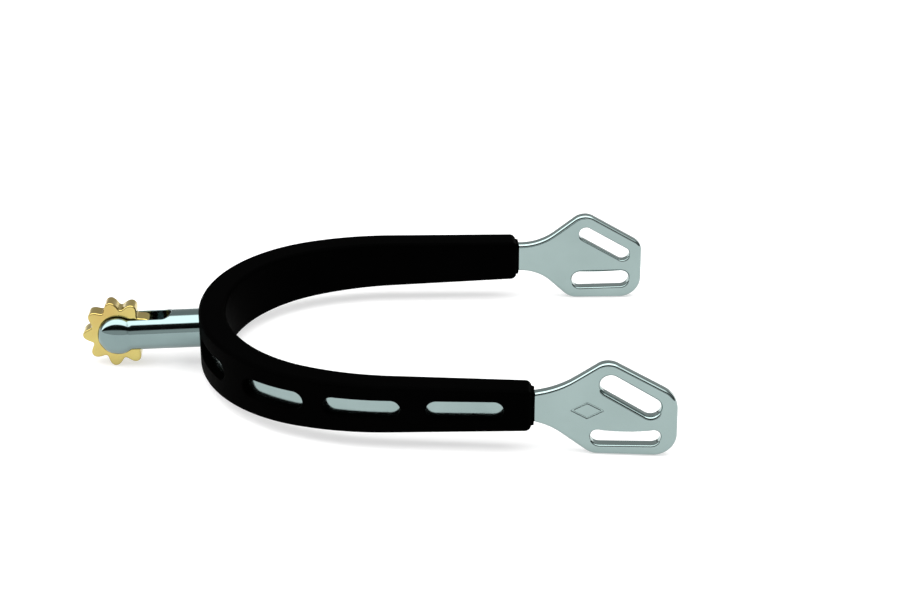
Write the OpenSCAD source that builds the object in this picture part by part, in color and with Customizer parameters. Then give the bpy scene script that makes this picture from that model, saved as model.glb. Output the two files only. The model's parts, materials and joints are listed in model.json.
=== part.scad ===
// English-style spur: a steel heel band in a black rubber sleeve, slotted strap plates on its
// two arms, and a round shank whose forked ball end carries a free-turning brass rowel.
// +X runs from the heel towards the open end of the arms, +Y is the wearer's left-hand arm
// seen from above, +Z is up. The origin is where the back of the boot's heel meets the sleeve.

/* [Heel curve] */
// Radius of the band's centreline round the back of the heel
heel_r = 37.3; // [36:0.1:39]
// Turn of the heel arc on each side, in degrees
heel_turn = 68; // [64:0.5:72]
// Radius of the band's centreline at the shoulders
shoulder_r = 62.5; // [58:0.5:66]
// Outward splay of the straight arms, in degrees
arm_splay = 2.65; // [1:0.05:4]
// Length of each straight arm up to the end of the sleeve
arm_len = 33.1; // [32:0.1:40]

/* [Steel band] */
// Thickness of the steel strip and of the plates
steel_t = 2.8; // [2.4:0.1:3.2]
// Height of the strip at the back of the heel
band_h_heel = 11.4; // [10.5:0.1:12]
// Height of the strip and of the plates' necks at the end of the arms
neck_h = 7.7; // [7:0.1:8.2]
// Length of each plate's root hidden inside the sleeve
root_len = 5; // [3:0.5:6]

/* [Rubber sleeve] */
// Total thickness of the sleeve, band included
sleeve_t = 6.7; // [6:0.1:7]
// Height of the sleeve above the middle plane at the heel
sleeve_top_heel = 7; // [6.6:0.1:7.8]
// Depth of the sleeve below the middle plane at the heel
sleeve_low_heel = 7.5; // [7.2:0.1:8.4]
// Height of the sleeve above and below the middle plane at the ends of the arms
sleeve_half_end = 5.1; // [4.9:0.1:6]
// Height of the stadium windows in the outer side
window_h = 4.9; // [4:0.1:5.2]

/* [Strap plates] */
// Width of each plate's lower strap slot
lower_slot_w = 4.4; // [4.2:0.1:4.6]
// Width of the right plate's slanted upper strap slot
right_upper_slot_w = 4.8; // [4:0.1:5]
// Width of the left plate's slanted upper strap slot
left_upper_slot_w = 3.5; // [3:0.1:4.4]
// Slope of the upper slots, in degrees
upper_slot_slope = 31.5; // [30:0.5:33]

/* [Shank and rowel] */
// Radius of the shank
shank_r = 4.85; // [4.5:0.05:5]
// Droop of the shank towards the rowel, in degrees
droop = 2.2; // [0:0.1:5]
// Distance from the band's centreline to the rowel axis, along the shank
shank_len = 23.5; // [21:0.1:27]
// Radius of the forked ball end, seen from the side
ball_r = 5; // [4.8:0.05:5.2]
// Bulge of each half of the ball past its widest section
ball_bulge = 3.4; // [2.8:0.1:4]
// Width of the fork's slot
fork_w = 5; // [4.6:0.1:5.2]
// Radius of the rowel pin
pin_r = 1.5; // [1.3:0.05:1.7]
// Number of teeth on the rowel
teeth = 9; // [8:1:12]
// Radius over the teeth of the rowel
rowel_tip_r = 8.75; // [8.5:0.05:9]
// Radius at the bottom of the gaps between the teeth
rowel_root_r = 6.7; // [6.4:0.1:7.2]
// Thickness of the rowel
rowel_t = 4.1; // [3.7:0.1:4.2]

/* [Hidden] */
$fn = 96;

// The centreline starts at the back of the heel and turns towards +X
centre_x = -sleeve_t / 2;
heel_centre = [centre_x + heel_r, 0];
shoulder_turn = 90 - arm_splay - heel_turn;
end_turn = heel_turn + shoulder_turn;
heel_len = heel_r * heel_turn * PI / 180;
shoulder_len = shoulder_r * shoulder_turn * PI / 180;
shoulder_centre = heel_centre + (heel_r - shoulder_r) * outward(heel_turn);
arm_start = shoulder_centre + shoulder_r * outward(end_turn);
sleeve_end_x = arm_start.x + arm_len * cos(arm_splay);
sleeve_end = heel_len + shoulder_len + arm_len;
reach = 60;          // more than any half width or height that is cut
arc_step = 3;        // of the straight pieces that make up an arc, in degrees

// Rubber lip that hugs each neck
lip_len = 0.6;
lip_wall = 0.5;
root_step = 0.1;            // of a plate's root below each face of the plate
root_t = steel_t - 2 * root_step;
root_out = lip_len + 0.05;  // of the root past the sleeve's end

// Windows in the sleeve: [distance along the centreline, length] of each
windows = [[15.5, 15.4], [37.8, 15.9], [59.2, 17.7], [83, 18.2]];

// Outline of each strap plate: [along the arm from the sleeve's end, height, corner radius].
// The left plate is a little shorter than the right one and its slots are smaller
right_corners = [
    [-root_len, neck_h / 2, 0],
    [root_out, neck_h / 2, 0],
    [6.2, 4.95, 22],
    [17.3, 12.65, 4.5],
    [33.9, 3.3, 6],
    [34.1, -12.5, 5.5],
    [14, -12.1, 5],
    [4.5, -4.95, 16],
    [root_out, -neck_h / 2, 0],
    [-root_len, -neck_h / 2, 0]
];
left_corners = [
    [-root_len, neck_h / 2, 0],
    [6.3, neck_h / 2, 14],
    [17.8, 12.65, 4.5],
    [33.4, 3.1, 3.5],
    [33.5, -12.5, 5.5],
    [14.4, -12.1, 5],
    [5.7, -neck_h / 2, 12],
    [-root_len, -neck_h / 2, 0]
];
// Slots: [middle along the arm, its height, distance between the centres of the round ends]
right_lower_slot = [22, -7.4, 12];
left_lower_slot = [22.6, -6.95, 10.8];
right_upper_slot = [22.9, 3.2, 11.1];
left_upper_slot = [23.4, 3.4, 11.7];
badge_at = [12.9, -0.4];
badge_size = [8, 4.4];
badge_line = 0.4;           // of the lozenge's line, measured up and down
badge_depth = 0.15;

shank_rise = 0.55;          // of the shank's root above the middle plane
tenon_r = 2.6;
ball_out = 2.3;             // of each ball half's widest section from the middle plane
pin_dress = 0.1;            // of the pin's ends below the ball's surface
fork_depth = 10.9;          // of the slot's parallel sides behind the rowel axis
rowel_clear = 0.05;         // radial running clearance of the rowel on its pin
washer_r = 3.4;
washer_t = 0.35;
rowel_rest = 30;            // angle of a tooth from the upright at rest
tooth_blunt = 0.1;

function direction(angle) = [cos(angle), sin(angle)];

// Unit vector out of the curve after a turn from the back of the heel
function outward(turn) = [-cos(turn), sin(turn)];

// Centreline of the left arm: [x, y, turn] at a length from the back of the heel
function line_at(s) =
    s < heel_len ? with_turn(heel_centre, heel_r, s / heel_len * heel_turn)
    : s < heel_len + shoulder_len
        ? with_turn(shoulder_centre, shoulder_r, heel_turn + (s - heel_len) / shoulder_len * shoulder_turn)
    : let(run = s - heel_len - shoulder_len)
        [arm_start.x + run * sin(end_turn), arm_start.y + run * cos(end_turn), end_turn];
function with_turn(centre, r, turn) =
    let(p = centre + r * outward(turn)) [p.x, p.y, turn];

// Places children on the left arm, +X along it and +Y out of it
module on_arm(s) {
    p = line_at(s);
    translate([p.x, p.y, 0]) rotate([0, 0, 90 - p.z]) children();
}

module both_sides() {
    children();
    mirror([0, 1, 0]) children();
}

// Places children on the shank's axis, +Z towards the rowel and +X up
module on_shank(distance = 0) {
    translate([centre_x, 0, shank_rise]) rotate([0, -90 - droop, 0])
        translate([0, 0, distance]) children();
}

// Left half of a curve beside the centreline, offset outwards, up to a length along it
function left_curve(offset, s_end) =
    [for (s = concat(arc_stops(0, heel_len, heel_turn), arc_stops(heel_len, shoulder_len, shoulder_turn),
                     [sleeve_end - arm_len, s_end]))
        let(p = line_at(s)) [p.x, p.y] + offset * outward(p.z)];
function arc_stops(from, length, turn) =
    let(steps = ceil(turn / arc_step)) [for (i = [0:steps - 1]) from + length * i / steps];
function mirrored(points) = [for (i = [len(points) - 1:-1:1]) [points[i].x, -points[i].y]];
function whole_curve(offset, s_end) =
    let(left = left_curve(offset, s_end)) concat(mirrored(left), left);
function backwards(points) = [for (i = [len(points) - 1:-1:0]) points[i]];

// Strip of a given thickness that follows the centreline up to a length, very tall
module tall_strip(thick, s_end) {
    linear_extrude(height = reach, center = true)
        polygon(concat(whole_curve(thick / 2, s_end), backwards(whole_curve(-thick / 2, s_end))));
}

// Everything inside a curve beside the centreline, very tall
module tall_inside(offset) {
    linear_extrude(height = reach, center = true) polygon(whole_curve(offset, sleeve_end));
}

// Everything between a top and a bottom that taper from the heel to the sleeve's ends
module tapered_heights(top_heel, low_heel, half_end) {
    rotate([90, 0, 0]) linear_extrude(height = 2 * reach, center = true)
        polygon([[-sleeve_t, -low_heel], [sleeve_end_x + sleeve_t, -half_end],
                 [sleeve_end_x + sleeve_t, half_end], [-sleeve_t, top_heel]]);
}

module band_solid(s_end) {
    intersection() {
        tall_strip(steel_t, s_end);
        tapered_heights(band_h_heel / 2, band_h_heel / 2, neck_h / 2);
    }
}

module stadium(run, w) {
    translate([-run / 2, -w / 2]) square([run, w]);
    for (end = [-1, 1]) translate([end * run / 2, 0]) circle(d = w, $fn = 48);
}

// Arc that rounds corner b on the way a-b-c, each given as [x, y, radius]
function rounded(a, b, c) =
    b.z == 0 ? [[b.x, b.y]]
    : let(
        p = [b.x, b.y],
        u = unit([a.x, a.y] - p),
        v = unit([c.x, c.y] - p),
        half = acos(u * v) / 2,
        mid = p + unit(u + v) * b.z / sin(half),
        first = p + u * b.z / tan(half) - mid,
        last = p + v * b.z / tan(half) - mid,
        start = atan2(first.y, first.x),
        sweep = (atan2(last.y, last.x) - start + 900) % 360 - 180,
        steps = ceil(abs(sweep) / arc_step)
    ) [for (i = [0:steps]) mid + b.z * direction(start + sweep * i / steps)];
function unit(v) = v / norm(v);

function rounded_outline(corners) =
    let(n = len(corners))
    [for (i = [0:n - 1]) each rounded(corners[(i + n - 1) % n], corners[i], corners[(i + 1) % n])];

module lozenge(size) {
    polygon([[-size.x / 2, 0], [0, size.y / 2], [size.x / 2, 0], [0, -size.y / 2]]);
}

// Face of a strap plate, seen from outside: +X along the arm, +Y up
module plate_outline(corners, lower, upper, upper_w) {
    difference() {
        polygon(rounded_outline(corners));
        translate([lower.x, lower.y]) stadium(lower.z, lower_slot_w);
        translate([upper.x, upper.y]) rotate(-upper_slot_slope) stadium(upper.z, upper_w);
    }
}

// Strap plate on the left arm, its root a little thinner so that its faces start clear of the lip
module plate_solid() {
    on_arm(sleeve_end) rotate([90, 0, 0]) difference() {
        linear_extrude(height = steel_t, center = true) children();
        for (side = [-1, 1]) translate([root_out - reach / 2, 0, side * (root_t / 2 + reach / 4)])
            cube([reach, neck_h + 1, reach / 2], center = true);
        translate([badge_at.x, badge_at.y, -steel_t / 2 - 1]) linear_extrude(height = 1 + badge_depth)
            difference() {
                lozenge(badge_size);
                lozenge(badge_size - 2 * badge_line * [badge_size.x / badge_size.y, 1]);
            }
    }
}

module heel_band() {
    color("lightsteelblue") difference() {
        band_solid(sleeve_end - root_len);
        on_shank(-reach / 2) cylinder(r = tenon_r, h = reach);
    }
}

module left_end_plate() {
    color("silver") plate_solid()
        plate_outline(left_corners, left_lower_slot, left_upper_slot, left_upper_slot_w);
}

module right_end_plate() {
    color("silver") mirror([0, 1, 0]) plate_solid()
        plate_outline(right_corners, right_lower_slot, right_upper_slot, right_upper_slot_w);
}

module grip_sleeve() {
    color([0.05, 0.05, 0.05]) difference() {
        union() {
            intersection() {
                tall_strip(sleeve_t, sleeve_end);
                tapered_heights(sleeve_top_heel, sleeve_low_heel, sleeve_half_end);
            }
            both_sides() on_arm(sleeve_end)
                translate([-1, -steel_t / 2 - lip_wall, -neck_h / 2 - lip_wall])
                    cube([1 + lip_len, steel_t + 2 * lip_wall, neck_h + 2 * lip_wall]);
        }
        band_solid(sleeve_end - root_len);
        both_sides() on_arm(sleeve_end)
            translate([-root_len, -root_t / 2, -neck_h / 2]) cube([2 * root_len, root_t, neck_h]);
        both_sides() for (w = windows) on_arm(w.x) rotate([-90, 0, 0])
            linear_extrude(height = sleeve_t) stadium(w.y - window_h, window_h);
        on_shank() cylinder(r = shank_r, h = reach / 4);
    }
}

// The two halves of the ball end, domes set apart by the rowel
module ball_end() {
    for (side = [-1, 1]) translate([0, side * ball_out, 0]) rotate([-90 * side, 0, 0]) rotate_extrude()
        polygon(concat([[0, 0]], [for (a = [0:6:84]) [ball_r * cos(a), ball_bulge * sin(a)]],
                       [[0, ball_bulge]]));
}

module fork_slot() {
    rotate([0, 90, 0]) translate([0, 0, -reach / 4]) linear_extrude(height = reach / 2)
        translate([fork_depth - reach / 2, 0]) stadium(reach, fork_w);
}

module shank() {
    color("gainsboro") difference() {
        union() {
            difference() {
                on_shank() union() {
                    cylinder(r = shank_r, h = shank_len);
                    translate([0, 0, shank_len]) ball_end();
                }
                tall_inside(steel_t / 2);
            }
            difference() {
                on_shank(-steel_t) cylinder(r = tenon_r, h = 2 * steel_t);
                tall_inside(-steel_t / 2);
            }
        }
        on_shank(shank_len) fork_slot();
        on_shank(shank_len) rotate([90, 0, 0]) cylinder(r = pin_r, h = reach / 2, center = true);
    }
}

// Pin pressed into both cheeks, its ends dressed just below the ball's surface
module rowel_pin() {
    half_len = ball_out + ball_bulge * sqrt(1 - (pin_r / ball_r) ^ 2) - pin_dress;
    color("darkgray") on_shank(shank_len)
        rotate([90, 0, 0]) cylinder(r = pin_r, h = 2 * half_len, center = true);
}

// A wave whose crests are blunter than its troughs by the share tooth_blunt
function rowel_radius(angle) =
    let(wave = cos(teeth * angle), blunt = tooth_blunt * (1 - cos(2 * teeth * angle)))
        rowel_root_r + (rowel_tip_r - rowel_root_r) * (1 + wave + blunt) / 2;

module rowel() {
    color("goldenrod") on_shank(shank_len) rotate([-90, 0, 0]) difference() {
        linear_extrude(height = rowel_t, center = true)
            polygon([for (i = [0:teeth * 14 - 1]) let(a = i * 360 / (teeth * 14))
                rowel_radius(a) * [cos(a + rowel_rest), sin(a + rowel_rest)]]);
        cylinder(r = pin_r + rowel_clear, h = 2 * rowel_t, center = true);
    }
}

// Thin washer against the inner face of a cheek
module rowel_washer(side) {
    color("gray") on_shank(shank_len) translate([0, side * (fork_w - washer_t) / 2, 0]) rotate([90, 0, 0])
        difference() {
            cylinder(r = washer_r, h = washer_t, center = true);
            cylinder(r = pin_r + rowel_clear, h = 2 * washer_t, center = true);
        }
}

module left_rowel_washer() {
    rowel_washer(1);
}

module right_rowel_washer() {
    rowel_washer(-1);
}

heel_band();
left_end_plate();
right_end_plate();
grip_sleeve();
shank();
rowel_pin();
rowel();
left_rowel_washer();
right_rowel_washer();
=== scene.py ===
import json
import math

import bpy
import numpy as np
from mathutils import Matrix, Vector

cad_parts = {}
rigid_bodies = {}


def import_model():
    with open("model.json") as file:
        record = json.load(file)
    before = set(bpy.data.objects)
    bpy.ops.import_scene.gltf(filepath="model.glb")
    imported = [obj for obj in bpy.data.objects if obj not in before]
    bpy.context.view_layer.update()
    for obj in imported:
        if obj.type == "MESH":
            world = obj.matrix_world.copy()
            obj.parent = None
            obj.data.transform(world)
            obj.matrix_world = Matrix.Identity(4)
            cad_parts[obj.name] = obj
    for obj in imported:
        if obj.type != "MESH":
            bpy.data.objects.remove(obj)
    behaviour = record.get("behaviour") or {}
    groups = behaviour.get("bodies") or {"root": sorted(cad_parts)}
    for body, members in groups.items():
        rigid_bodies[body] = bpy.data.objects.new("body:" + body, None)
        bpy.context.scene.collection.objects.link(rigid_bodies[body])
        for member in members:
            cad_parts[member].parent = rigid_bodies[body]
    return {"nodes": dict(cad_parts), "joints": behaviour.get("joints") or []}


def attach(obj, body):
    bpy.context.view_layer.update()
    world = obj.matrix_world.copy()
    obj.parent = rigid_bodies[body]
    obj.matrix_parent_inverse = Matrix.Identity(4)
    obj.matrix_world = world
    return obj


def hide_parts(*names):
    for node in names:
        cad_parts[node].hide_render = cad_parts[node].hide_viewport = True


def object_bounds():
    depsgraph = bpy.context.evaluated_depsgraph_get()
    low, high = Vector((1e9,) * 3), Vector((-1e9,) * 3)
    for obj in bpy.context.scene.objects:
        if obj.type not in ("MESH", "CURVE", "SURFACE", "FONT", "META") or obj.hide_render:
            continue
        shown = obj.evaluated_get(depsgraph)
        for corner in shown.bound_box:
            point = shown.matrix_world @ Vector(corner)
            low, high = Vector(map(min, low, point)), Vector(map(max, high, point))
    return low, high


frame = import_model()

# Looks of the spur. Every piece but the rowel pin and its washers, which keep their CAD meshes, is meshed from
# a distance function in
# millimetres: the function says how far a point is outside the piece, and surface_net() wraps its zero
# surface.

MM = 0.001
cad_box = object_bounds()
spin = frame["joints"][0]

# The design's driving dimensions in millimetres and degrees, as the CAD has them
HEEL_R, HEEL_TURN = 37.3, 68.0
SHOULDER_R, ARM_SPLAY = 62.5, 2.65
ARM_LEN = 33.1
STEEL_T, BAND_H_HEEL, NECK_H, ROOT_LEN = 2.8, 11.4, 7.7, 5.0
SLEEVE_T, SLEEVE_TOP_HEEL, SLEEVE_LOW_HEEL, SLEEVE_HALF_END = 6.7, 7.0, 7.5, 5.1
WINDOW_H = 4.9
WINDOWS = [(15.5, 15.4), (37.8, 15.9), (59.2, 17.7), (83.0, 18.2)]
LIP_LEN, LIP_WALL, ROOT_STEP = 0.6, 0.5, 0.1
ROOT_OUT = LIP_LEN + 0.05
LOWER_SLOT_W, UPPER_SLOT_SLOPE = 4.4, 31.5
RIGHT_CORNERS = [(-ROOT_LEN, NECK_H / 2, 0), (ROOT_OUT, NECK_H / 2, 0), (6.2, 4.95, 22), (17.3, 12.65, 4.5),
                 (33.9, 3.3, 6), (34.1, -12.5, 5.5), (14, -12.1, 5), (4.5, -4.95, 16),
                 (ROOT_OUT, -NECK_H / 2, 0), (-ROOT_LEN, -NECK_H / 2, 0)]
LEFT_CORNERS = [(-ROOT_LEN, NECK_H / 2, 0), (6.3, NECK_H / 2, 14), (17.8, 12.65, 4.5), (33.4, 3.1, 3.5),
                (33.5, -12.5, 5.5), (14.4, -12.1, 5), (5.7, -NECK_H / 2, 12), (-ROOT_LEN, -NECK_H / 2, 0)]
# Slots: (middle along the arm, its height, distance between the centres of the round ends, width)
RIGHT_LOWER_SLOT, LEFT_LOWER_SLOT = (22, -7.4, 12.0, LOWER_SLOT_W), (22.6, -6.95, 10.8, LOWER_SLOT_W)
RIGHT_UPPER_SLOT, LEFT_UPPER_SLOT = (22.9, 3.2, 11.1, 4.8), (23.4, 3.4, 11.7, 3.5)
SHANK_R, DROOP, SHANK_RISE, TENON_R = 4.85, 2.2, 0.55, 2.6
BALL_R, BALL_OUT, BALL_BULGE = 5.0, 2.3, 3.4
FORK_W, FORK_DEPTH = 5.0, 10.9
PIN_R = 1.5
BADGE_AT, BADGE_SIZE, BADGE_LINE, BADGE_DEPTH = (12.9, -0.4), (8.0, 4.4), 0.4, 0.15
TEETH, ROWEL_TIP_R, ROWEL_ROOT_R, ROWEL_T, ROWEL_REST = 9, 8.75, 6.7, 4.1, 30.0
ROWEL_CLEAR, TOOTH_BLUNT = 0.05, 0.1


# ---------------------------------------------------------------- the band's centreline

def outward(turn):
    """Unit vector out of the centreline after a turn from the back of the heel, in radians."""
    return np.stack([-np.cos(turn), np.sin(turn)], -1)


heel_turn = math.radians(HEEL_TURN)
end_turn = math.radians(90 - ARM_SPLAY)
heel_centre = np.array([-SLEEVE_T / 2 + HEEL_R, 0.0])
shoulder_centre = heel_centre + (HEEL_R - SHOULDER_R) * outward(heel_turn)
arm_start = shoulder_centre + SHOULDER_R * outward(end_turn)
heel_len = HEEL_R * heel_turn
bend_len = heel_len + SHOULDER_R * (end_turn - heel_turn)
sleeve_end = bend_len + ARM_LEN
arm_along = np.array([math.sin(end_turn), math.cos(end_turn)])
arm_end = arm_start + ARM_LEN * arm_along


def follow_band(s, o, z):
    """Points at a length s along the centreline (left arm positive), o out of it and z up."""
    run = np.abs(s)
    turn = np.where(run < heel_len, run / HEEL_R,
                    heel_turn + (np.minimum(run, bend_len) - heel_len) / SHOULDER_R)
    on_heel = (run < heel_len)[..., None]
    centre = np.where(on_heel, heel_centre, shoulder_centre)
    radius = np.where(run < heel_len, HEEL_R, SHOULDER_R)
    past = np.maximum(run - bend_len, 0)
    xy = centre + (radius + o)[..., None] * outward(turn) + past[..., None] * arm_along
    return np.stack([xy[..., 0], np.sign(s) * xy[..., 1], z + 0 * s], -1)


def tapered(x, heel, end):
    """A height that tapers along X from behind the heel to past the sleeve's ends."""
    share = (x + SLEEVE_T) / (arm_end[0] + 2 * SLEEVE_T)
    return heel + (end - heel) * share


# ---------------------------------------------------------------- distance functions

def box2(a, b, half_a, half_b, r=0.0):
    """Distance to a rectangle with rounded corners."""
    qa, qb = np.abs(a) - half_a + r, np.abs(b) - half_b + r
    return np.hypot(np.maximum(qa, 0), np.maximum(qb, 0)) + np.minimum(np.maximum(qa, qb), 0) - r


def stadium(a, b, run, width):
    return np.hypot(np.maximum(np.abs(a) - run / 2, 0), b) - width / 2


def meet(d1, d2, r):
    """Where both are inside, with a round of radius r along the edge between them."""
    return np.minimum(-r, np.maximum(d1, d2)) + np.hypot(np.maximum(r + d1, 0), np.maximum(r + d2, 0))


def join(d1, d2, r):
    """Where either is inside, with a fillet of radius r in the corner between them."""
    return np.maximum(r, np.minimum(d1, d2)) - np.hypot(np.maximum(r - d1, 0), np.maximum(r - d2, 0))


def smooth_step(low, high, value):
    t = np.clip((value - low) / (high - low), 0, 1)
    return t * t * (3 - 2 * t)


def rounded_outline(corners, step=math.radians(4)):
    """Closed outline whose corners are rounded, each given as (x, y, radius)."""
    points = []
    for i, (x, y, r) in enumerate(corners):
        p = np.array([x, y])
        if r == 0:
            points.append(p)
            continue
        to_last = np.array(corners[i - 1][:2]) - p
        to_next = np.array(corners[(i + 1) % len(corners)][:2]) - p
        u, v = to_last / np.linalg.norm(to_last), to_next / np.linalg.norm(to_next)
        half = math.acos(u @ v) / 2
        mid = p + (u + v) / np.linalg.norm(u + v) * r / math.sin(half)
        first, last = p + u * r / math.tan(half) - mid, p + v * r / math.tan(half) - mid
        start = math.atan2(first[1], first[0])
        sweep = (math.atan2(last[1], last[0]) - start + math.pi) % (2 * math.pi) - math.pi
        for t in np.linspace(0, 1, math.ceil(abs(sweep) / step) + 1):
            points.append(mid + r * np.array([math.cos(start + t * sweep), math.sin(start + t * sweep)]))
    return np.array(points)


def outline_distance(a, b, outline):
    """Signed distance from (a, b) to a closed outline, negative inside."""
    a, b = np.broadcast_arrays(a, b)
    best = np.full(a.shape, np.inf)
    inside = np.zeros(a.shape, bool)
    for (x0, y0), (x1, y1) in zip(outline, np.roll(outline, -1, axis=0)):
        ex, ey = x1 - x0, y1 - y0
        t = np.clip(((a - x0) * ex + (b - y0) * ey) / (ex * ex + ey * ey), 0, 1)
        best = np.minimum(best, (a - x0 - t * ex) ** 2 + (b - y0 - t * ey) ** 2)
        if y0 != y1:
            inside ^= ((y0 > b) != (y1 > b)) & (a < (x1 - x0) * (b - y0) / (y1 - y0) + x0)
    return np.where(inside, -1, 1) * np.sqrt(best)


# ---------------------------------------------------------------- meshing

def crossing_points(values, axes, cells):
    """Mean of the points where a cell's edges cross the surface, for each cell."""
    total = np.zeros((len(cells), 3))
    count = np.zeros(len(cells))
    for axis in range(3):
        others = [k for k in range(3) if k != axis]
        for c in range(4):
            start = cells.copy()
            start[:, others[0]] += c & 1
            start[:, others[1]] += c >> 1
            stop = start.copy()
            stop[:, axis] += 1
            va, vb = values[tuple(start.T)], values[tuple(stop.T)]
            cut = (va < 0) != (vb < 0)
            t = np.where(cut, va / np.where(cut, va - vb, 1), 0)
            pa = np.stack([axes[k][start[:, k]] for k in range(3)], -1)
            pb = np.stack([axes[k][stop[:, k]] for k in range(3)], -1)
            total += np.where(cut[:, None], pa + t[:, None] * (pb - pa), 0)
            count += cut
    return total / count[:, None]


def surface_net(distance, low, high, step):
    """Vertices and outward quads of the surface where distance(x, y, z) is zero."""
    low, high, step = (np.array(v, float) for v in (low, high, step))
    counts = np.ceil((high - low) / step).astype(int) + 1
    axes = [np.linspace(low[k], high[k], counts[k]) for k in range(3)]
    values = np.array(np.broadcast_to(distance(*np.meshgrid(*axes, indexing="ij", sparse=True)), counts))
    inside = values < 0
    corners = sum(inside[x:x + counts[0] - 1, y:y + counts[1] - 1, z:z + counts[2] - 1].astype(int)
                  for x in (0, 1) for y in (0, 1) for z in (0, 1))
    cells = np.argwhere((corners > 0) & (corners < 8))
    number = np.full(counts - 1, -1)
    number[tuple(cells.T)] = np.arange(len(cells))
    quads = []
    for axis in range(3):
        a, b = [k for k in range(3) if k != axis]
        first = np.take(inside, range(counts[axis] - 1), axis)
        second = np.take(inside, range(1, counts[axis]), axis)
        edges = np.argwhere(first != second)
        edges = edges[(edges[:, a] > 0) & (edges[:, b] > 0) & (edges[:, a] < counts[a] - 1)
                      & (edges[:, b] < counts[b] - 1)]
        ring = []
        for da, db in ((-1, -1), (0, -1), (0, 0), (-1, 0)):
            cell = edges.copy()
            cell[:, a] += da
            cell[:, b] += db
            ring.append(number[tuple(cell.T)])
        ring = np.stack(ring, -1)
        backwards = first[tuple(edges.T)] == (axis == 1)
        ring[backwards] = ring[backwards][:, ::-1]
        quads.append(ring)
    return pull(distance, crossing_points(values, axes, cells)), np.concatenate(quads)


def pull(distance, points, rounds=4, nudge=1e-3):
    """Moves points onto the surface along the distance's gradient."""
    for _ in range(rounds):
        at = distance(*points.T)
        slope = np.stack([(distance(*(points + nudge * e).T) - distance(*(points - nudge * e).T)) / (2 * nudge)
                          for e in np.eye(3)], -1)
        steep = np.maximum((slope ** 2).sum(-1), 0.25)
        points = points - np.clip(at / steep, -0.2, 0.2)[:, None] * slope
    return points


def make_piece(name, surface, place, material, slot, body, *nodes, mirror=False):
    """A smooth-shaded piece from surface_net()'s vertices and quads, put in place in the row frame."""
    points, quads = surface
    points = place(*points.T) * MM
    if mirror:
        points = points * [1, -1, 1]
        quads = quads[:, ::-1]
    mesh = bpy.data.meshes.new(name)
    mesh.from_pydata(points.tolist(), [], quads.tolist())
    mesh.shade_smooth()
    mesh.materials.append(material)
    piece = bpy.data.objects.new(name, mesh)
    bpy.context.scene.collection.objects.link(piece)
    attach(piece, body)
    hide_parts(*nodes)
    return piece


# ---------------------------------------------------------------- the pieces' shapes

shank_axis = np.array([-math.cos(math.radians(DROOP)), 0, -math.sin(math.radians(DROOP))])
shank_up = np.array([-math.sin(math.radians(DROOP)), 0, math.cos(math.radians(DROOP))])
shank_root = np.array([-SLEEVE_T / 2, 0, SHANK_RISE])
rowel_axis = np.array(spin["pos_m"]) / MM
shank_len = (rowel_axis - shank_root) @ shank_axis
right_hand = np.array([0, 1.0, 0])


def on_shank(t, y, up):
    """Points t along the shank from the band's centreline, y to the left and up."""
    return shank_root + t[..., None] * shank_axis + y[..., None] * right_hand + up[..., None] * shank_up


def off_shank_axis(points):
    """How far points are from the shank's axis."""
    rel = points - shank_root
    along = rel @ shank_axis
    return np.linalg.norm(rel - along[..., None] * shank_axis, axis=-1)


def band_distance(s, o, z, grow=0.0, end=sleeve_end - ROOT_LEN, edge=0.35):
    points = follow_band(*np.broadcast_arrays(s, o, z))
    half = tapered(points[..., 0], BAND_H_HEEL, NECK_H) / 2
    strip = box2(o, z, STEEL_T / 2 + grow, half + grow, edge)
    return meet(strip, np.abs(s) - end - grow, edge)


def heel_band_distance(s, o, z):
    tenon_hole = off_shank_axis(follow_band(*np.broadcast_arrays(s, o, z))) - TENON_R
    return meet(band_distance(s, o, z), -tenon_hole, 0.1)


SLEEVE_EDGE, SLEEVE_END_EDGE, WINDOW_RIM, CAVITY_GAP = 0.9, 1.5, 0.2, 0.02


def sleeve_distance(s, o, z):
    points = follow_band(*np.broadcast_arrays(s, o, z))
    x = points[..., 0]
    top, low = tapered(x, SLEEVE_TOP_HEEL, SLEEVE_HALF_END), tapered(x, SLEEVE_LOW_HEEL, SLEEVE_HALF_END)
    body = box2(o, z - (top - low) / 2, SLEEVE_T / 2, (top + low) / 2, SLEEVE_EDGE)
    body = meet(body, np.abs(s) - sleeve_end, SLEEVE_END_EDGE)
    lip = box2(o, z, STEEL_T / 2 + LIP_WALL, NECK_H / 2 + LIP_WALL, 0.3)
    body = join(body, meet(lip, np.abs(s) - sleeve_end - LIP_LEN, 0.3), 0.25)
    for centre, length in WINDOWS:
        window = stadium(np.abs(s) - centre, z, length - WINDOW_H, WINDOW_H)
        body = meet(body, -np.maximum(window, -o), WINDOW_RIM)
    shank_hole = np.maximum(off_shank_axis(points) - SHANK_R - CAVITY_GAP, -o)
    body = meet(body, -shank_hole, 0.3)
    cavity = band_distance(s, o, z, CAVITY_GAP, sleeve_end - ROOT_LEN)
    neck = np.maximum(box2(o, z, STEEL_T / 2 - ROOT_STEP + CAVITY_GAP, NECK_H / 2 + CAVITY_GAP, 0.3),
                      sleeve_end - 2 * ROOT_LEN - np.abs(s))
    return np.maximum(body, -np.minimum(cavity, neck))


PLATE_EDGE, SLOT_EDGE, SLOT_EASE, SLOT_SAG = 0.95, 0.6, 0.5, 1.8


def turned(a, b, at, angle):
    """Coordinates of (a, b) in a frame at a point, turned clockwise."""
    c, s = math.cos(math.radians(angle)), math.sin(math.radians(angle))
    return (a - at[0]) * c - (b - at[1]) * s, (a - at[0]) * s + (b - at[1]) * c


def lozenge_distance(a, b):
    """Distance to the engraved lozenge's outline, a line of even width."""
    half_a, half_b = BADGE_SIZE[0] / 2, BADGE_SIZE[1] / 2
    across = (np.abs(a) * half_b + np.abs(b) * half_a - half_a * half_b) / math.hypot(half_a, half_b)
    line = BADGE_LINE * half_a / math.hypot(half_a, half_b)
    return np.abs(across + line / 2) - line / 2


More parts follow.
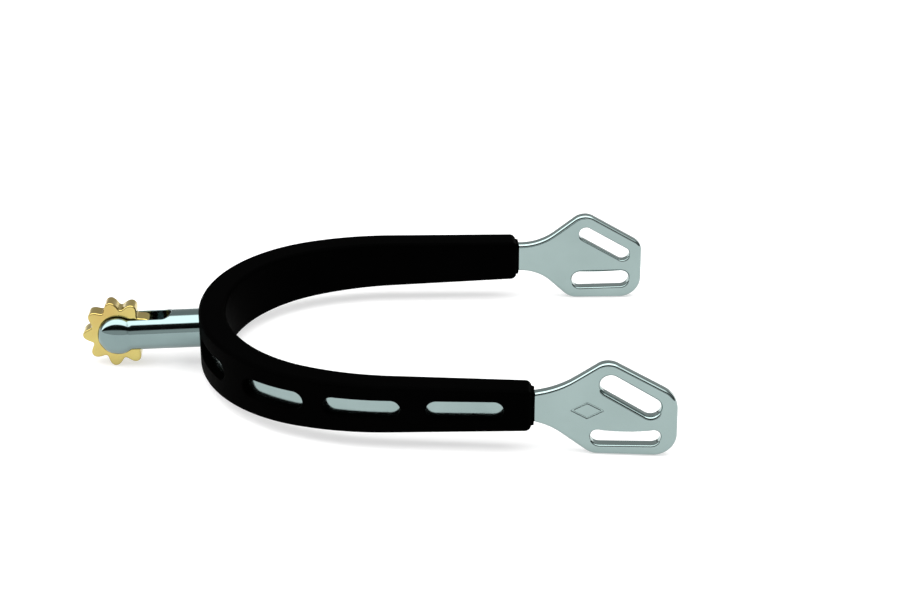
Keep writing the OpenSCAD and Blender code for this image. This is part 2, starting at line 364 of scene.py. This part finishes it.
def plate_shape(corners, lower, upper):
    """Distance function of a strap plate with the given outline and slots."""
    outline = rounded_outline(corners)

    def distance(u, o, z):
        step = ROOT_STEP * (1 - smooth_step(ROOT_OUT - 0.1, ROOT_OUT + 0.1, u))
        slab = np.abs(o) - STEEL_T / 2 + step
        body = meet(outline_distance(u, z, outline), slab, PLATE_EDGE)
        ua, ub = turned(u, z, upper[:2], UPPER_SLOT_SLOPE)
        upper_edge = SLOT_EDGE + SLOT_EASE * smooth_step(-0.5, 0.5, o)
        body = meet(body, -stadium(ua, ub, *upper[2:]), upper_edge)
        la, lb = u - lower[0], z - lower[1]
        middle = np.maximum(1 - (2 * la / (lower[2] + lower[3])) ** 2, 0)
        lb = lb + SLOT_SAG * middle * (0.3 + o / STEEL_T) * smooth_step(0, lower[3] / 2, lb)
        lower_edge = SLOT_EDGE + SLOT_EASE * smooth_step(-0.5, 0.5, -o) * smooth_step(-1, 1, lb)
        body = meet(body, -stadium(la, lb, *lower[2:]), lower_edge)
        badge = np.maximum(lozenge_distance(u - BADGE_AT[0], z - BADGE_AT[1]), STEEL_T / 2 - BADGE_DEPTH - o)
        return meet(body, -badge, 0.04)

    return distance


def on_left_arm(u, o, z):
    xy = arm_end + u[..., None] * arm_along + o[..., None] * outward(end_turn)
    return np.concatenate([xy, z[..., None]], -1)


PIN_END = 5.25


def ball_distance(t, y, up):
    """The ball end: domes that bulge less than they are wide, set apart by the rowel."""
    out = np.maximum(np.abs(y) - BALL_OUT, 0)
    reach = np.hypot(t - shank_len, up)
    share = np.hypot(reach / BALL_R, out / BALL_BULGE)
    slope = np.hypot(reach / BALL_R ** 2, out / BALL_BULGE ** 2)
    return share * (share - 1) / np.maximum(slope, 1e-6)


def shank_distance(t, y, up):
    points = on_shank(*np.broadcast_arrays(t, y, up))
    from_heel = np.hypot(points[..., 0] - heel_centre[0], points[..., 1])
    neck = np.maximum(np.hypot(y, up) - SHANK_R, t - shank_len)
    body = join(neck, ball_distance(t, y, up), 0.25)
    body = np.maximum(body, HEEL_R + STEEL_T / 2 - from_heel)
    tenon = np.maximum(np.hypot(y, up) - TENON_R, HEEL_R - STEEL_T / 2 - from_heel)
    body = np.minimum(body, np.maximum(tenon, t - 4))
    slot = np.hypot(np.maximum(shank_len - FORK_DEPTH - t, 0), y) - FORK_W / 2
    body = meet(body, -slot, 0.3)
    bore = np.hypot(t - shank_len, up) - PIN_R
    return np.maximum(body, -np.maximum(bore, np.abs(y) - PIN_END))


ROWEL_EDGE = 0.45


def rowel_distance(a, y, b):
    """a points up and b towards the heel at rest."""
    angle = np.arctan2(b, a) - math.radians(ROWEL_REST)
    reach = np.hypot(a, b)
    depth = ROWEL_TIP_R - ROWEL_ROOT_R
    wave = TEETH * angle
    edge = ROWEL_ROOT_R + depth * (1 + np.cos(wave) + TOOTH_BLUNT * (1 - np.cos(2 * wave))) / 2
    slope = depth * TEETH * (np.sin(wave) - 2 * TOOTH_BLUNT * np.sin(2 * wave)) / 2 / np.maximum(reach, 1)
    teeth = (reach - edge) / np.sqrt(1 + slope ** 2)
    body = meet(teeth, np.abs(y) - ROWEL_T / 2, ROWEL_EDGE)
    return meet(body, PIN_R + ROWEL_CLEAR - reach, 0.15)


def on_rowel(a, y, b):
    return rowel_axis + a[..., None] * shank_up + y[..., None] * right_hand - b[..., None] * shank_axis


# ---------------------------------------------------------------- materials

def new_material(name):
    material = bpy.data.materials.new(name)
    material.use_nodes = True
    nodes = material.node_tree.nodes
    return material, nodes, material.node_tree.links, nodes["Principled BSDF"]


def object_point(nodes, links, scale=(1, 1, 1), turn=(0, 0, 0)):
    """Object coordinates, scaled and turned, as a socket."""
    coords = nodes.new("ShaderNodeTexCoord")
    mapping = nodes.new("ShaderNodeMapping")
    mapping.inputs["Scale"].default_value = scale
    mapping.inputs["Rotation"].default_value = turn
    links.new(coords.outputs["Object"], mapping.inputs["Vector"])
    return mapping.outputs["Vector"]


def noise(nodes, links, point, scale, detail=4.0, roughness=0.55):
    texture = nodes.new("ShaderNodeTexNoise")
    texture.inputs["Scale"].default_value = scale
    texture.inputs["Detail"].default_value = detail
    texture.inputs["Roughness"].default_value = roughness
    links.new(point, texture.inputs["Vector"])
    return texture.outputs["Fac"]


def spread(nodes, links, value, low, high, from_low=0.3, from_high=0.7):
    """A 0 to 1 texture value, taken to a range."""
    ranged = nodes.new("ShaderNodeMapRange")
    ranged.inputs["From Min"].default_value = from_low
    ranged.inputs["From Max"].default_value = from_high
    ranged.inputs["To Min"].default_value = low
    ranged.inputs["To Max"].default_value = high
    links.new(value, ranged.inputs["Value"])
    return ranged.outputs["Result"]


def colour_mix(nodes, links, share, colour_a, colour_b):
    mix = nodes.new("ShaderNodeMix")
    mix.data_type = "RGBA"
    mix.inputs["A"].default_value = (*colour_a, 1)
    mix.inputs["B"].default_value = (*colour_b, 1)
    links.new(share, mix.inputs["Factor"])
    return mix.outputs["Result"]


def bumped(nodes, links, shader, height, strength, distance, normal=None):
    bump = nodes.new("ShaderNodeBump")
    bump.inputs["Strength"].default_value = strength
    bump.inputs["Distance"].default_value = distance
    links.new(height, bump.inputs["Height"])
    if normal is not None:
        links.new(normal, bump.inputs["Normal"])
    links.new(bump.outputs["Normal"], shader.inputs["Normal"])
    return bump.outputs["Normal"]


def metal(name, colour, worn, roughness, scratch):
    """Polished metal: smudges change its gloss and tone, and fine polishing scratches its surface."""
    material, nodes, links, shader = new_material(name)
    shader.inputs["Metallic"].default_value = 1.0
    smudge = noise(nodes, links, object_point(nodes, links), 90.0, 5.0)
    links.new(colour_mix(nodes, links, spread(nodes, links, smudge, 0, 1), colour, worn),
              shader.inputs["Base Color"])
    fine = noise(nodes, links, object_point(nodes, links), 420.0, 6.0)
    links.new(spread(nodes, links, fine, roughness * 0.75, roughness * 1.35), shader.inputs["Roughness"])
    lengthwise = noise(nodes, links, object_point(nodes, links, (120, 900, 2600)), 1.0, 3.0)
    crosswise = noise(nodes, links, object_point(nodes, links, (1500, 500, 150), (0.3, 0.6, 0.2)), 1.0, 2.0)
    normal = bumped(nodes, links, shader, lengthwise, scratch, 0.00002)
    bumped(nodes, links, shader, crosswise, scratch * 0.6, 0.00002, normal)
    return material


def rubber():
    """Black moulded rubber: a faint grain, and dust that dulls it in patches."""
    material, nodes, links, shader = new_material("black_rubber")
    patches = noise(nodes, links, object_point(nodes, links), 60.0, 5.0)
    links.new(colour_mix(nodes, links, spread(nodes, links, patches, 0, 1, 0.35, 0.75),
                         (0.0002, 0.0002, 0.0002), (0.0005, 0.0005, 0.0005)), shader.inputs["Base Color"])
    grain = noise(nodes, links, object_point(nodes, links), 2600.0, 3.0)
    links.new(spread(nodes, links, patches, 0.5, 0.62), shader.inputs["Roughness"])
    shader.inputs["Specular IOR Level"].default_value = 0.003
    bumped(nodes, links, shader, grain, 0.25, 0.00003)
    return material


polished_steel = metal("polished_steel", (0.276, 0.352, 0.343), (0.254, 0.325, 0.316), 0.10, 0.10)
# The shank is the same polished steel as the plates, with painted shade: its colour is darkened to stand in
# for the dimmer floor it reflects beneath it
shank_steel_painted_shade = metal("shank_steel_painted_shade", (0.20, 0.268, 0.266), (0.184, 0.247, 0.246), 0.08, 0.10)
band_steel = metal("band_steel", (0.26, 0.333, 0.327), (0.232, 0.302, 0.296), 0.14, 0.10)
pin_steel = metal("pin_steel", (0.30, 0.33, 0.34), (0.22, 0.24, 0.25), 0.25, 0.3)
rowel_brass = metal("rowel_brass", (0.50, 0.44, 0.15), (0.46, 0.34, 0.11), 0.16, 0.12)
black_rubber = rubber()

# ---------------------------------------------------------------- the pieces

frame_body, rowel_body = spin["parent"], spin["child"]
FINE = 0.16

make_piece("sleeve", surface_net(sleeve_distance, (-sleeve_end - 2, -3.7, -8.2), (sleeve_end + 2, 3.7, 7.7),
                                 (0.4, 0.2, 0.25)),
           follow_band, black_rubber, "black_rubber", frame_body, "grip_sleeve")
make_piece("band", surface_net(heel_band_distance, (-sleeve_end, -1.8, -6.2), (sleeve_end, 1.8, 6.2),
                               (0.6, 0.2, 0.3)),
           follow_band, band_steel, "band_steel", frame_body, "heel_band")
for side, shape in (("left", plate_shape(LEFT_CORNERS, LEFT_LOWER_SLOT, LEFT_UPPER_SLOT)),
                    ("right", plate_shape(RIGHT_CORNERS, RIGHT_LOWER_SLOT, RIGHT_UPPER_SLOT))):
    plate = surface_net(shape, (-ROOT_LEN - 0.5, -1.8, -13), (34.6, 1.8, 12.6), (FINE, FINE, FINE))
    make_piece(side + "_plate", plate, on_left_arm, polished_steel, "polished_steel", frame_body,
               side + "_end_plate", mirror=side == "right")
make_piece("shank_piece", surface_net(shank_distance, (-0.5, -7.4, -5.4), (shank_len + 5.4, 7.4, 5.4),
                                (FINE, FINE, FINE)),
           on_shank, shank_steel_painted_shade, "polished_steel", frame_body, "shank")
make_piece("rowel_piece", surface_net(rowel_distance, (-9.2, -2.4, -9.2), (9.2, 2.4, 9.2), (FINE, FINE, FINE)),
           on_rowel, rowel_brass, "rowel_brass", rowel_body, "rowel")
for node in ("rowel_pin", "left_rowel_washer", "right_rowel_washer"):
    cad_piece = frame["nodes"][node]
    cad_piece.data.materials.clear()
    cad_piece.data.materials.append(pin_steel)

# ---------------------------------------------------------------- floor, light and camera

rowel_low = Vector((rowel_axis[0] * MM, 0, (rowel_axis[2] - ROWEL_TIP_R) * MM))
plates_low = Vector(((arm_end[0] + RIGHT_LOWER_SLOT[0]) * MM, 0, cad_box[0][2]))
lie = plates_low - rowel_low

bpy.ops.mesh.primitive_plane_add(size=4.0)
floor = bpy.context.object
floor.name = "floor"
floor.location = plates_low
floor.rotation_euler = (0, math.atan2(-lie.z, lie.x), 0)
paper, nodes, links, shader = new_material("floor_paper")
shader.inputs["Base Color"].default_value = (0.5, 0.5, 0.5, 1)
shader.inputs["Roughness"].default_value = 0.9
shader.inputs["Specular IOR Level"].default_value = 0.0
shader.inputs["Emission Color"].default_value = (1, 1, 1, 1)
shader.inputs["Emission Strength"].default_value = 0.6
floor.data.materials.append(paper)

# Light by direction, as an angle from the front horizon (-Y) over the zenith to the rear horizon:
# a low front glow, a dark gap, a broad softbox overhead and a grey rear wall
SKY_STRENGTH = 4.0
SKY = [(-180, 0.20), (-5, 0.20), (20, 0.22), (24, 0.002), (38, 0.002), (42, 0.004), (54, 0.008), (58, 0.98),
       (104, 0.98), (110, 0.14), (150, 0.13), (180, 0.16)]
world = bpy.data.worlds.new("studio")
bpy.context.scene.world = world
world.use_nodes = True
nodes, links = world.node_tree.nodes, world.node_tree.links
coords = nodes.new("ShaderNodeTexCoord")
split = nodes.new("ShaderNodeSeparateXYZ")
links.new(coords.outputs["Generated"], split.inputs["Vector"])
forward = nodes.new("ShaderNodeMath")
forward.operation = "MULTIPLY"
forward.inputs[1].default_value = -1.0
links.new(split.outputs["Y"], forward.inputs[0])
over = nodes.new("ShaderNodeMath")
over.operation = "ARCTAN2"
links.new(split.outputs["Z"], over.inputs[0])
links.new(forward.outputs["Value"], over.inputs[1])
share = nodes.new("ShaderNodeMapRange")
share.inputs["From Min"].default_value = -math.pi
share.inputs["From Max"].default_value = math.pi
links.new(over.outputs["Value"], share.inputs["Value"])
ramp = nodes.new("ShaderNodeValToRGB")
stops = ramp.color_ramp.elements
for stop, (angle, level) in zip([stops[0], stops[1]] + [stops.new(0.5) for _ in SKY[2:]], SKY):
    stop.position = (angle + 180) / 360
    stop.color = (level, level, level, 1)
links.new(share.outputs["Result"], ramp.inputs["Fac"])
dusk = nodes.new("ShaderNodeMapRange")
dusk.interpolation_type = "SMOOTHSTEP"
dusk.inputs["From Min"].default_value = 0.55
dusk.inputs["From Max"].default_value = 0.9
dusk.inputs["To Min"].default_value = SKY_STRENGTH
dusk.inputs["To Max"].default_value = SKY_STRENGTH * 0.12
links.new(split.outputs["X"], dusk.inputs["Value"])
background = nodes["Background"]
links.new(dusk.outputs["Result"], background.inputs["Strength"])
links.new(ramp.outputs["Color"], background.inputs["Color"])

camera_data = bpy.data.cameras.new("camera")
camera_data.lens = 87.03
camera_data.sensor_width = 36.0
camera = bpy.data.objects.new("camera", camera_data)
camera.location = (0.04684, -0.4872, 0.2495)
camera.rotation_euler = Vector((0.0179, 0.8949, -0.4460)).to_track_quat("-Z", "Y").to_euler()
bpy.context.scene.collection.objects.link(camera)
bpy.context.scene.camera = camera
bpy.context.scene.view_settings.view_transform = "Standard"

bpy.context.view_layer.update()
